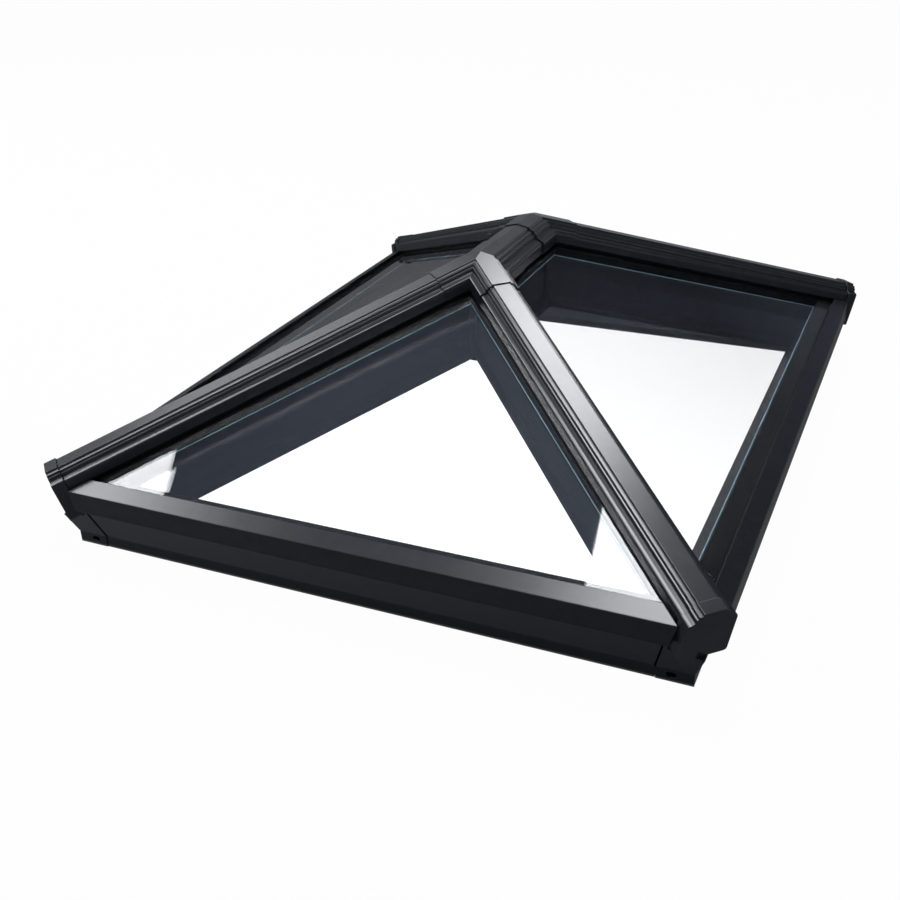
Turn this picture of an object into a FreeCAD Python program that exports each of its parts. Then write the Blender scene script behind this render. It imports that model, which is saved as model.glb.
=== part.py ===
import FreeCAD, Part
import os

import Sketcher

# Roof lantern: a glazed hip roof of four insulated units on a rectangular ring beam.
# Millimetres, +Z up, the ridge along Y, origin at the middle of the base's underside.
# Every hip runs at 45 degrees in plan, because all four slopes share one pitch.

SIZES = (
    ("base_width", 1000, "across the outer faces of the weathering lip, along X"),
    ("base_length", 1240, "across the outer faces of the weathering lip, along Y"),
    ("pitch", 25, "slope of all four glazed sides, in degrees"),
    ("beam_width", 74, "ring beam, from the lip's outer face to the foot of its inner face"),
    ("beam_height", 81, "ring beam, from the base to the top of its nose"),
    ("beam_flare", 22, "how far the nose stands out over the lip"),
    ("nose_face", 4, "height of the upright face of the nose"),
    ("seat_width", 44, "ring beam's pitched top under the units, level from the nose"),
    ("cill_height", 15, "upright foot of the ring beam's inner face, which leans outward above it"),
    ("lip_height", 19, "height of the weathering lip below the flare"),
    ("lip_wall", 3, "thickness of the weathering lip"),
    ("groove_width", 12, "drip groove behind the lip"),
    ("groove_depth", 15, "drip groove, up from the base"),
    ("block_width", 51, "corner block, along each side"),
    ("block_proud", 1.2, "how far the corner block stands out over the ring beam"),
    ("block_lean", 15, "how far the block's joints lean outward over the height of the flare"),
    ("joint_gap", 0.7, "open joint between a ring beam and a corner block, at the lip"),
    ("flare_gap", 2.6, "open joint between a ring beam and a corner block, above the lip"),
    ("slot_length", 14, "drain slot in the block's lip"),
    ("slot_width", 7.5, "drain slot in the block's lip"),
    ("slot_inset", 30, "from the lip's corner to the middle of a slot"),
    ("slot_level", 11, "middle of a slot above the base"),
    ("slot_depth", 15, "drain slot, in from the face of the lip"),
    ("bed", 0.25, "thin seal between a pane and the frame, spacer or gasket on it"),
    ("inner_glass", 4, "thickness of the inner pane"),
    ("cavity", 16, "height of the spacer frame between the panes"),
    ("outer_glass", 4, "thickness of the outer pane"),
    ("hip_gap", 10, "from the hip's middle plane to the units' edges, square to the hip"),
    ("unit_set_back", 17, "from the nose to the lower edge of the inner pane, level"),
    ("pane_clear", 2, "from the outer pane's lower edge to the end caps and eaves caps"),
    ("spacer_width", 25.5, "spacer frame, along the unit's face"),
    ("hip_rise", 33.1, "from the line where the outer panes meet to the top of the covers"),
    ("cap_top", 28, "flat top of a hip cap"),
    ("cap_width", 68, "hip cap, across its skirts"),
    ("cap_wall", 2, "wall of the caps' skirts and mouldings"),
    ("cap_plate", 5.5, "thickness of a cap under its flat top"),
    ("top_step", 2.2, "step beside the flat top"),
    ("upper_ledge", 1.3, "level strip at the head of the upper roll"),
    ("upper_roll", 8.7, "width of the upper rolled moulding"),
    ("upper_drop", 12.4, "height of the upper rolled moulding"),
    ("upper_radius", 13.5, "curve of the upper rolled moulding"),
    ("roll_step", 0.9, "step between the two rolled mouldings"),
    ("lower_radius", 23.4, "curve of the lower rolled moulding, down to the skirt's edge"),
    ("proud", 2, "how far boss caps and end caps stand out over the hip caps"),
    ("cap_gap", 0.6, "open seam between a cap and the boss cap or end cap beside it"),
    ("boss_arm", 91, "boss cap, along a hip from the apex"),
    ("ridge_arm", 70, "boss cap, along the ridge from the apex"),
    ("ridge_least", 40, "least length of ridge cap that shows between the boss caps"),
    ("end_overhang", 25, "end cap's top edge outside the lip, along X and along Y"),
    ("end_depth", 20, "end cap, along the hip at its top"),
    ("end_drop", 86, "end cap, from its top to its underside, square to the hip"),
    ("end_lean", 15, "lean of the end cap's front face from upright, in degrees"),
    ("end_wall", 2.5, "wall of the end cap"),
    ("end_round", 4, "rounding of the end cap's lower corners"),
    ("end_clear", 1, "from the end cap to the ring beams and the corner block"),
    ("gasket_height", 6.5, "gasket between the outer pane and the caps"),
    ("gasket_width", 10, "gasket, along the pane"),
    ("gasket_inset", 3, "gasket's edge inside the edge of the caps"),
    ("eaves_reach", 33.4, "eaves cap's front face outside the lip"),
    ("eaves_front", 33, "height of the eaves cap's front face"),
    ("eaves_top", 29.7, "eaves cap's pitched top, up the slope"),
    ("eaves_wall", 2.5, "wall of the eaves cap"),
    ("eaves_round", 2.4, "rounding of the eaves cap's top edge"),
    ("eaves_gap", 3, "from a hip cap's side to the end of an eaves cap, square to the hip"),
    ("eaves_slant", 11, "how much shorter an eaves cap's front is at its foot, at each end"),
    ("rafter_width", 48, "hip rafter across its plinth"),
    ("rafter_depth", 106.5, "hip rafter below the units, square to the hip"),
    ("web_width", 40, "hip rafter above its plinth"),
    ("plinth_height", 11, "upright side of the rafter's plinth"),
    ("plinth_slope", 14, "height over which the plinth slopes in to the web"),
    ("rafter_round", 4, "rounding of the lower edges of rafters and ridge beam"),
    ("fin_width", 14, "upright fin that carries a cap between two units"),
    ("boss_reach", 30, "from the boss's axis to its face on a rafter"),
    ("boss_back", 15, "from the boss's axis to its face on the ridge beam"),
    ("stub_radius", 8, "round stub that carries the boss cap"),
    ("fin_clear", 2, "from a fin's lower end to the end cap"),
)

# Lengths and angles worked out from the sizes. Distances named d run level and outward from the ridge
# line, and on the two hip ends from the ridge's end.
DERIVED = (
    ("hip_slope", "Angle", "atan(tan(Sizes.pitch) / sqrt(2))"),
    ("ridge_half", "Float", "(Sizes.base_length - Sizes.base_width) / 2"),
    ("lip_face", "Float", "Sizes.base_width / 2"),
    ("nose", "Float", "lip_face + Sizes.beam_flare"),
    ("inner_face", "Float", "lip_face - Sizes.beam_width"),
    ("block_inner", "Float", "lip_face - Sizes.block_width"),
    ("block_face", "Float", "lip_face + Sizes.block_proud"),
    ("nose_foot", "Float", "Sizes.beam_height - Sizes.nose_face"),
    ("joint_rate", "Float", "Sizes.block_lean / (nose_foot - Sizes.lip_height)"),
    ("seat_edge", "Float", "nose - Sizes.seat_width"),
    ("seat_head", "Float", "Sizes.beam_height + Sizes.seat_width * tan(Sizes.pitch)"),
    ("seat_ridge", "Float", "Sizes.beam_height + nose * tan(Sizes.pitch)"),
    ("cill_rate", "Float", "(seat_edge - inner_face) / (seat_head - Sizes.cill_height)"),
    ("under_ridge", "Float", "seat_ridge + Sizes.bed / cos(Sizes.pitch)"),
    ("unit_depth", "Float", "Sizes.inner_glass + Sizes.cavity + Sizes.outer_glass"),
    ("glass_ridge", "Float", "under_ridge + unit_depth / cos(Sizes.pitch)"),
    ("hip_top", "Float", "glass_ridge + Sizes.hip_rise / cos(hip_slope)"),
    ("hip_run", "Float", "(lip_face + Sizes.end_overhang) * sqrt(2) / cos(hip_slope)"),
    ("hip_lean", "Float", "sqrt(1 + sin(hip_slope) ^ 2)"),
    ("hip_under", "Float", "-Sizes.hip_rise - (unit_depth + Sizes.bed) * hip_lean"),
    ("cap_half", "Float", "Sizes.cap_width / 2"),
    ("skirt", "Float", "Sizes.gasket_height * hip_lean - Sizes.hip_rise"
                       " - (cap_half - Sizes.cap_wall) * sin(hip_slope)"),
    ("rafter_foot", "Float", "hip_under - Sizes.rafter_depth"),
    ("eaves_face", "Float", "lip_face + Sizes.eaves_reach"),
    ("eaves_ridge", "Float", "glass_ridge + (Sizes.gasket_height + Sizes.eaves_wall) / cos(Sizes.pitch)"),
    ("eaves_edge", "Float", "eaves_ridge - eaves_face * tan(Sizes.pitch)"),
    ("eaves_foot", "Float", "eaves_edge - Sizes.eaves_front"),
    ("eaves_inner", "Float", "eaves_face - Sizes.eaves_top * cos(Sizes.pitch)"),
    ("unit_edge", "Float", "nose - Sizes.unit_set_back"),
    ("seam_foot", "Float", "((hip_run - Sizes.end_depth) * cos(hip_slope) - Sizes.hip_rise * sin(hip_slope)"
                           " + (cap_half + Sizes.proud) * cos(hip_slope) ^ 2) / sqrt(2)"),
    ("pane_foot", "Float", "min(seam_foot; eaves_face - Sizes.eaves_wall) - Sizes.pane_clear"),
    ("boss_floor", "Float", "hip_top + rafter_foot / cos(hip_slope) - Sizes.boss_reach * tan(hip_slope)"),
    ("boss_ceiling", "Float", "seat_ridge - tan(Sizes.pitch)"
                              " * (Sizes.boss_reach + Sizes.rafter_width / 2) / sqrt(2)"),
    ("stub_top", "Float", "hip_top - Sizes.cap_plate / cos(hip_slope)"
                          " - tan(hip_slope) * (Sizes.cap_top + 2 * Sizes.proud - Sizes.cap_wall) / 2"),
    ("ridge_arm", "Float", "min(Sizes.ridge_arm; ridge_half - Sizes.ridge_least / 2)"),
    ("span", "Float", "4 * Sizes.base_length"),
)

# Name, turn about Z in degrees, end of the ridge (-1 front, 1 back), and half the ridge on the long sides.
SIDES = (("front", "0", "-1", "0"), ("right", "90", "0", "Frame.ridge_half"),
         ("back", "180", "1", "0"), ("left", "270", "0", "Frame.ridge_half"))
HIPS = (("front_right", "-45", "-1"), ("back_right", "45", "1"),
        ("back_left", "135", "1"), ("front_left", "-135", "-1"))
ENDS = (("front", "0", "-1"), ("back", "180", "1"))

doc = FreeCAD.newDocument("roof_lantern")
sheet = doc.addObject("Spreadsheet::Sheet", "Sizes")
for row, (name, value, meaning) in enumerate(SIZES, start=1):
    sheet.set(f"A{row}", name)
    sheet.set(f"B{row}", str(value))
    sheet.setAlias(f"B{row}", name)
    sheet.set(f"C{row}", meaning)
doc.recompute()

frame = doc.addObject("App::VarSet", "Frame")
for name, kind, text in DERIVED:
    frame.addProperty(f"App::Property{kind}", name)
    frame.setExpression(name, text)
doc.recompute()

nodes = []


def number(text):
    """The present value of an expression."""
    value = sheet.evalExpression(str(text))
    return float(getattr(value, "Value", value))


def new_body(label, place):
    body = doc.addObject("PartDesign::Body", label)
    body.Label = label
    body.setExpression("Placement", place)
    return body


def level_place(yaw, end, height="0"):
    """Upright frame at the ridge's front end (-1), middle (0) or back end (1), turned by yaw."""
    return f"placement(vector(0; {end} * Frame.ridge_half; {height}); rotation({yaw}; 0; 0))"


def hip_place(yaw, end):
    """Frame at an apex: X down the hip along the top of the covers, Y across it."""
    return (f"placement(vector(0; {end} * Frame.ridge_half; Frame.hip_top);"
            f" rotation({yaw}; Frame.hip_slope; 0))")


def pane_place(yaw, end):
    """Frame on the underside of a glazing unit: X level, Y up the slope, Z out of the glass."""
    return (f"placement(vector(0; {end} * Frame.ridge_half; Frame.under_ridge);"
            f" rotation({yaw}; 0; Sizes.pitch))")


def new_sketch(body, role, offset):
    """A sketch on one of the body's own planes, moved along that plane's normal."""
    sketch = body.newObject("Sketcher::SketchObject", f"{body.Name}_outline")
    plane = next(item for item in body.Origin.OriginFeatures if item.Role == role)
    sketch.AttachmentSupport = [(plane, "")]
    sketch.MapMode = "FlatFace"
    sketch.setExpression("AttachmentOffset.Base.z", offset)
    return sketch


def bind(sketch, kind, geometry, point, text):
    """A coordinate of a sketch point, held at an expression."""
    index = sketch.addConstraint(Sketcher.Constraint(kind, geometry, point, number(text)))
    sketch.setExpression(f"Constraints[{index}]", text)


def arc_between(start, end, radius):
    """Counter-clockwise arc of the radius from start to end."""
    chord = end - start
    rise = max(radius ** 2 - (chord.Length / 2) ** 2, 0) ** 0.5
    side = FreeCAD.Vector(-chord.y, chord.x, 0).normalize()
    centre = (start + end) / 2 + side * rise
    circle = Part.Circle(centre, FreeCAD.Vector(0, 0, 1), radius)
    return Part.ArcOfCircle(circle, circle.parameter(start), circle.parameter(end))


def draw(sketch, corners):
    """A closed outline. A corner is (x, y), or (x, y, radius) where an arc leads on to the next corner."""
    first = sketch.GeometryCount
    points = [FreeCAD.Vector(number(corner[0]), number(corner[1]), 0) for corner in corners]
    count = len(corners)
    for index, corner in enumerate(corners):
        start, end = points[index], points[(index + 1) % count]
        if len(corner) == 3:
            sketch.addGeometry(arc_between(start, end, number(corner[2])))
        else:
            sketch.addGeometry(Part.LineSegment(start, end))
    for index, corner in enumerate(corners):
        following = first + (index + 1) % count
        sketch.addConstraint(Sketcher.Constraint("Coincident", first + index, 2, following, 1))
        bind(sketch, "DistanceX", first + index, 1, corner[0])
        bind(sketch, "DistanceY", first + index, 1, corner[1])
        if len(corner) == 3:
            radius = sketch.addConstraint(Sketcher.Constraint("Radius", first + index, number(corner[2])))
            sketch.setExpression(f"Constraints[{radius}]", corner[2])


def draw_slot(sketch, across, level):
    """A round-ended slot centred at (across, level), its length along the sketch's X."""
    radius = "Sizes.slot_width / 2"
    reach = "(Sizes.slot_length - Sizes.slot_width) / 2"
    corners = [(f"{across} - {reach}", f"{level} - {radius}"), (f"{across} + {reach}", f"{level} - {radius}"),
               (f"{across} + {reach}", f"{level} + {radius}"), (f"{across} - {reach}", f"{level} + {radius}")]
    points = [FreeCAD.Vector(number(x), number(y), 0) for x, y in corners]
    for index in range(4):
        start, end = points[index], points[(index + 1) % 4]
        if index % 2:
            sketch.addGeometry(arc_between(start, end, number(radius)))
        else:
            sketch.addGeometry(Part.LineSegment(start, end))
    for index in range(4):
        sketch.addConstraint(Sketcher.Constraint("Coincident", index, 2, (index + 1) % 4, 1))
        bind(sketch, "DistanceX", index, 1, corners[index][0])
        bind(sketch, "DistanceY", index, 1, corners[index][1])
        if index % 2:
            bind(sketch, "DistanceX", index, 3, corners[index][0])


def pad(body, role, outlines, length, offset="0", side="One side"):
    """Adds the outlines' area, drawn on a plane of the body, as a solid of the given length."""
    sketch = new_sketch(body, role, offset)
    for corners in outlines:
        draw(sketch, corners)
    feature = body.newObject("PartDesign::Pad", f"{body.Name}_pad")
    feature.Profile = sketch
    feature.SideType = side
    feature.setExpression("Length", length)
    doc.recompute()
    return feature


def pocket(body, role, outlines, length, offset="0", side="Symmetric", slot=None):
    """Cuts the outlines, or one slot, out of the body: both ways from the plane, or back from it."""
    sketch = new_sketch(body, role, offset)
    for corners in outlines:
        draw(sketch, corners)
    if slot:
        draw_slot(sketch, *slot)
    feature = body.newObject("PartDesign::Pocket", f"{body.Name}_pocket")
    feature.Profile = sketch
    feature.SideType = side
    feature.setExpression("Length", length)
    doc.recompute()
    return feature


def loft(body, foot, level, head, top):
    """Adds the straight-sided solid between two outlines at two levels."""
    sketches = []
    for corners, height in ((foot, level), (head, top)):
        sketch = new_sketch(body, "XY_Plane", height)
        draw(sketch, corners)
        sketches.append(sketch)
    feature = body.newObject("PartDesign::AdditiveLoft", f"{body.Name}_loft")
    feature.Profile = sketches[0]
    feature.Sections = sketches[1:]
    feature.Ruled = True
    doc.recompute()
    return feature


def dress(body, kind, edges, property_name, size):
    """Rounds or chamfers chosen edges of the body's last feature."""
    feature = body.newObject(f"PartDesign::{kind}", f"{body.Name}_{kind.lower()}")
    feature.Base = (body.Tip if body.Tip != feature else feature.BaseFeature, edges)
    feature.setExpression(property_name, size)
    doc.recompute()
    return feature


def edges_near(shape, places):
    """Names of the straight edges that run through any of the given lines: (point, direction)."""
    found = []
    for index, edge in enumerate(shape.Edges, start=1):
        middle = edge.CenterOfMass
        along = (edge.Vertexes[-1].Point - edge.Vertexes[0].Point).normalize()
        for point, direction in places:
            if along.cross(direction).Length < 1e-3 and (middle - point).cross(direction).Length < 1e-2:
                found.append(f"Edge{index}")
    return found


def mirrored(half):
    """A right half's corners, foot to head, followed by their mirror image, head to foot."""
    left = []
    for index in range(len(half) - 1, -1, -1):
        radius = half[index - 1][2:] if index else ()
        left.append((f"-({half[index][0]})", half[index][1]) + tuple(radius))
    return half + left


def cap_halves(grow):
    """Outer and inner right half of a hip cap's section, grown outward all round."""
    half = f"(Frame.cap_half + {grow})"
    crown = f"({grow} - Sizes.proud)"
    flat = f"(Sizes.cap_top / 2 + {grow})"
    waist = f"({flat} + Sizes.upper_ledge + Sizes.upper_roll)"
    upper_foot = f"({crown} - Sizes.top_step - Sizes.upper_drop)"
    lower_head = f"({upper_foot} - Sizes.roll_step)"
    outer = [
        (half, "Frame.skirt", "Sizes.lower_radius"),
        (waist, lower_head),
        (waist, upper_foot, "Sizes.upper_radius"),
        (f"{flat} + Sizes.upper_ledge", f"{crown} - Sizes.top_step"),
        (flat, f"{crown} - Sizes.top_step"),
        (flat, crown),
    ]
    inner = [
        (f"{half} - Sizes.cap_wall", "Frame.skirt"),
        (f"{waist} - Sizes.cap_wall / 2", f"{lower_head} - Sizes.cap_wall"),
        (f"{flat} - Sizes.cap_wall / 2", f"{crown} - Sizes.cap_plate"),
    ]
    return outer, inner


def along_ridge(half):
    """A hip section's right half as the ridge needs it, so that both meet on the plane across the apex."""
    turned = []
    for across, up, *radius in half:
        level = f"sqrt(2) * ({across})"
        height = f"({up}) / cos(Frame.hip_slope) - ({across}) * tan(Frame.hip_slope)"
        turned.append((level, height) + tuple(f"1.2 * {value}" for value in radius))
    return turned


def channel(outer, inner):
    """Closed outline of an open-bottomed channel from its two right halves."""
    return mirrored(outer) + list(reversed(mirrored(inner)))


def both_ends(corners):
    """An outline at the right end of a side and its mirror image at the left end."""
    return [corners, [(f"-({x})", y) for x, y in corners]]


def make_end_rooms():
    """Room round the four end caps, which ring beams and corner blocks leave free."""
    rooms = []
    half = "(Frame.cap_half + Sizes.proud + Sizes.end_clear)"
    foot = "-Sizes.end_drop - Sizes.end_clear"
    for name, yaw, end in HIPS:
        room = new_body(f"end_room_{name}", hip_place(yaw, end))
        pad(room, "YZ_Plane", [[(f"-{half}", foot), (half, foot), (half, "0"), (f"-{half}", "0")]],
            "Frame.hip_run", offset="Frame.hip_run - Sizes.end_depth - Sizes.end_clear")
        rooms.append(room)
    joined = doc.addObject("Part::MultiFuse", "end_rooms")
    joined.Shapes = rooms
    return joined


def less_rooms(label, body, rooms):
    """The body without the end caps' rooms, as a node."""
    node = doc.addObject("Part::Cut", label)
    node.Base = body
    node.Tool = rooms
    nodes.append(node)


def make_ring_beam(name, yaw, end, extra, rooms):
    body = new_body(f"beam_body_{name}", level_place(yaw, end))
    groove = "Frame.lip_face - Sizes.lip_wall"
    section = [
        ("-Frame.inner_face", "0"),
        ("-Frame.inner_face", "Sizes.cill_height"),
        ("-Frame.seat_edge", "Frame.seat_head"),
        ("-Frame.nose", "Sizes.beam_height"),
        ("-Frame.nose", "Frame.nose_foot"),
        ("-Frame.lip_face", "Sizes.lip_height"),
        ("-Frame.lip_face", "0"),
        (f"-({groove})", "0"),
        (f"-({groove})", "Sizes.groove_depth"),
        (f"-({groove} - Sizes.groove_width)", "Sizes.groove_depth"),
        (f"-({groove} - Sizes.groove_width)", "0"),
    ]
    pad(body, "YZ_Plane", [section], f"2 * ({extra} + Frame.nose)", side="Symmetric")
    mitre = [
        (f"{extra} + Frame.inner_face - 1", "1 - Frame.inner_face"),
        (f"{extra} + Frame.nose + 1", "1 - Frame.inner_face"),
        (f"{extra} + Frame.nose + 1", "-Frame.nose - 1"),
    ]
    pocket(body, "XY_Plane", both_ends(mitre), "Frame.span")
    foot = f"({extra} + Frame.block_inner - Sizes.joint_gap)"
    above = f"({extra} + Frame.block_inner - Sizes.flare_gap)"
    joint = [
        (foot, "-1"),
        ("Frame.span", "-1"),
        ("Frame.span", "Frame.hip_top"),
        (f"{above} + Frame.joint_rate * (Frame.hip_top - Sizes.lip_height)", "Frame.hip_top"),
        (above, "Sizes.lip_height"),
        (foot, "Sizes.lip_height"),
    ]
    pocket(body, "XZ_Plane", both_ends(joint), "Frame.span")
    less_rooms(f"ring_beam_{name}", body, rooms)


def make_corner_block(name, yaw, end, rooms):
    """Corner block, whose outer faces flare out and whose joints with the ring beams lean outward."""
    body = new_body(f"block_body_{name}", level_place(f"{yaw} + 45", end))

    def square(lean, flare):
        inner = f"(Frame.block_inner + {lean})"
        outer = f"(Frame.block_face + {flare})"
        return [(inner, f"-{inner}"), (inner, f"-{outer}"), (outer, f"-{outer}"), (outer, f"-{inner}")]

    foot = square("0", "0")
    head = square("Sizes.block_lean", "Sizes.beam_flare")
    pad(body, "XY_Plane", [foot], "Sizes.lip_height")
    loft(body, foot, "Sizes.lip_height", head, "Frame.nose_foot")
    middle = "(Frame.lip_face - Sizes.slot_inset)"
    for plane, across in (("XZ_Plane", middle), ("YZ_Plane", f"-{middle}")):
        pocket(body, plane, [], "Sizes.slot_depth", offset="Frame.block_face", side="One side",
               slot=(across, "Sizes.slot_level"))
    less_rooms(f"corner_block_{name}", body, rooms)


def unit_outline(extra, edge, shift="0", height="0"):
    """Outline of a layer of a glazing unit, foot level at d = edge and its other sides the hip gap plus
    shift from the hips and ridge, both measured at the given height above the unit's underside."""
    hip = f"(sqrt(2) * (Sizes.hip_gap + {shift}) - {height} * sin(Sizes.pitch))"
    foot = f"({edge} - {height} * sin(Sizes.pitch))"
    corners = [(f"-({extra} + {foot} - {hip})", f"-{foot} / cos(Sizes.pitch)"),
               (f"{extra} + {foot} - {hip}", f"-{foot} / cos(Sizes.pitch)")]
    if number(extra) > 0:
        corners.append((extra, f"-{hip} / cos(Sizes.pitch)"))
        corners.append((f"-({extra})", f"-{hip} / cos(Sizes.pitch)"))
    else:
        corners.append(("0", f"-{hip} / cos(Sizes.pitch)"))
    return corners


def make_unit(name, yaw, end, extra):
    inner_edge = "Frame.unit_edge"
    outer_edge = "(Frame.pane_foot - Frame.unit_depth * sin(Sizes.pitch))"
    sight_edge = "(Frame.unit_edge - Sizes.spacer_width * cos(Sizes.pitch))"
    layers = (
        ("inner_pane", [unit_outline(extra, inner_edge)], "0", "Sizes.inner_glass"),
        ("spacer", [unit_outline(extra, inner_edge),
                    unit_outline(extra, sight_edge, "Sizes.spacer_width")],
         "Sizes.inner_glass + Sizes.bed", "Sizes.cavity - 2 * Sizes.bed"),
        ("outer_pane", [unit_outline(extra, outer_edge)],
         "Sizes.inner_glass + Sizes.cavity", "Sizes.outer_glass"),
        ("gasket", gasket_outlines(extra), "Frame.unit_depth + Sizes.bed", "Sizes.gasket_height - Sizes.bed"),
    )
    for layer, outlines, offset, thickness in layers:
        body = new_body(f"{layer}_{name}", pane_place(yaw, end))
        pad(body, "XY_Plane", outlines, thickness, offset=offset)
        nodes.append(body)


def gasket_outlines(extra):
    """Gasket under the edges of the caps, on the outer pane."""
    near = "Frame.cap_half - Sizes.gasket_inset - Sizes.hip_gap"
    eaves = "(Frame.eaves_inner + Sizes.gasket_inset)"
    return [unit_outline(extra, f"({eaves} + Sizes.gasket_width)", f"{near} - Sizes.gasket_width",
                         "Frame.unit_depth"),
            unit_outline(extra, eaves, near, "Frame.unit_depth")]


def make_eaves_cap(name, yaw, end, extra):
    body = new_body(f"eaves_cap_{name}", level_place(yaw, end))
    back = "(Frame.eaves_face - Sizes.eaves_wall)"
    under = "(Frame.eaves_ridge - Sizes.eaves_wall / cos(Sizes.pitch))"
    section = [
        ("-Frame.nose", "Frame.eaves_foot"),
        ("-Frame.eaves_face", "Frame.eaves_foot"),
        ("-Frame.eaves_face", "Frame.eaves_edge"),
        ("-Frame.eaves_inner", "Frame.eaves_ridge - Frame.eaves_inner * tan(Sizes.pitch)"),
        ("-Frame.eaves_inner", f"{under} - Frame.eaves_inner * tan(Sizes.pitch)"),
        (f"-{back}", f"{under} - {back} * tan(Sizes.pitch)"),
        (f"-{back}", "Frame.eaves_foot + Sizes.eaves_wall"),
        ("-Frame.nose", "Frame.eaves_foot + Sizes.eaves_wall"),
    ]
    feature = pad(body, "YZ_Plane", [section], f"2 * ({extra} + Frame.eaves_face)", side="Symmetric")
    edge = FreeCAD.Vector(0, -number("Frame.eaves_face"), number("Frame.eaves_edge"))
    edges = edges_near(feature.Shape, [(edge, FreeCAD.Vector(1, 0, 0))])
    dress(body, "Fillet", edges, "Radius", "Sizes.eaves_round")
    gap = "sqrt(2) * (Frame.cap_half + Sizes.eaves_gap)"
    near, far = "(Frame.eaves_inner - 5)", "(Frame.eaves_face + 5)"
    hip_cut = [
        (f"{extra} + {near} - {gap}", f"-{near}"),
        (f"{extra} + {far} - {gap}", f"-{far}"),
        (f"{extra} + {far} + 5", f"-{far}"),
        (f"{extra} + {far} + 5", f"-{near}"),
    ]
    pocket(body, "XY_Plane", both_ends(hip_cut), "Frame.span")
    corner = f"({extra} + Frame.eaves_face - {gap})"
    slant = [
        (f"{corner} + 5", "Frame.eaves_edge"),
        (corner, "Frame.eaves_edge"),
        (f"{corner} - Sizes.eaves_slant", "Frame.eaves_foot"),
        (f"{corner} - Sizes.eaves_slant", "Frame.eaves_foot - 5"),
        (f"{corner} + 5", "Frame.eaves_foot - 5"),
    ]
    pocket(body, "XZ_Plane", both_ends(slant), "Frame.span")
    nodes.append(body)


def rafter_half():
    """Right half of a rafter's section, foot to head: the plinth, its slope and the narrower web."""
    plinth = "(Sizes.rafter_width / 2)"
    web = "(Sizes.web_width / 2)"
    return [
        (plinth, "Frame.rafter_foot"),
        (plinth, "Frame.rafter_foot + Sizes.plinth_height"),
        (web, "Frame.rafter_foot + Sizes.plinth_height + Sizes.plinth_slope"),
        (web, f"Frame.hip_under - {web} * sin(Frame.hip_slope)"),
    ]


def make_opening():
    """The space between the ring beams' inner faces, in which the rafters end."""
    body = new_body("clear_opening", level_place("0", "0"))

    def rectangle(reach):
        along = f"({reach} + Frame.ridge_half)"
        return [(reach, f"-{along}"), (reach, along), (f"-{reach}", along), (f"-{reach}", f"-{along}")]

    foot = rectangle("Frame.inner_face")
    head = rectangle("(Frame.inner_face + Frame.cill_rate * (Frame.hip_top - Sizes.cill_height))")
    pad(body, "XY_Plane", [foot], "Sizes.cill_height")
    loft(body, foot, "Sizes.cill_height", head, "Frame.hip_top")
    return body


def make_rafter(name, yaw, end, opening):
    """Deep rafter between boss and ring beam, with the fin that runs on over the beam."""
    beam = new_body(f"rafter_beam_{name}", hip_place(yaw, end))
    half = "Sizes.rafter_width / 2"
    section = mirrored(rafter_half())
    section.insert(len(section) // 2, ("0", "Frame.hip_under"))
    feature = pad(beam, "YZ_Plane", [section], "2 * Frame.hip_run", side="Symmetric")
    foot = number("Frame.rafter_foot")
    side = number(half)
    along = FreeCAD.Vector(1, 0, 0)
    lines = [(FreeCAD.Vector(0, side, foot), along), (FreeCAD.Vector(0, -side, foot), along)]
    edges = edges_near(feature.Shape, lines)
    dress(beam, "Fillet", edges, "Radius", "Sizes.rafter_round")
    reach = new_body(f"rafter_reach_{name}", level_place(yaw, end))
    pad(reach, "XY_Plane", [[("Sizes.boss_reach", f"-{half} - 5"), ("Sizes.boss_reach", f"{half} + 5"),
                             ("Frame.hip_run", f"{half} + 5"), ("Frame.hip_run", f"-{half} - 5")]],
        "Frame.hip_top")
    trimmed = doc.addObject("Part::MultiCommon", f"rafter_trimmed_{name}")
    trimmed.Shapes = [beam, opening, reach]
    fin = new_body(f"rafter_fin_{name}", hip_place(yaw, end))
    fin_half = "Sizes.fin_width / 2"
    crown = "-Sizes.proud - Sizes.cap_plate"
    fin_section = mirrored([(fin_half, f"Frame.hip_under - {fin_half} * sin(Frame.hip_slope)"),
                            (fin_half, crown)])
    fin_section.append(("0", "Frame.hip_under"))
    length = "Frame.hip_run - Sizes.end_depth - Sizes.boss_reach - Sizes.fin_clear"
    pad(fin, "YZ_Plane", [fin_section], length, offset="Sizes.boss_reach")
    rafter = doc.addObject("Part::Fuse", f"hip_rafter_{name}")
    rafter.Base = trimmed
    rafter.Tool = fin
    nodes.append(rafter)


def make_hip_cap(name, yaw, end):
    body = new_body(f"hip_cap_{name}", hip_place(yaw, end))
    length = "Frame.hip_run - Sizes.end_depth - Sizes.boss_arm - 2 * Sizes.cap_gap"
    pad(body, "YZ_Plane", [channel(*cap_halves("0"))], length, offset="Sizes.boss_arm + Sizes.cap_gap")
    nodes.append(body)


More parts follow.
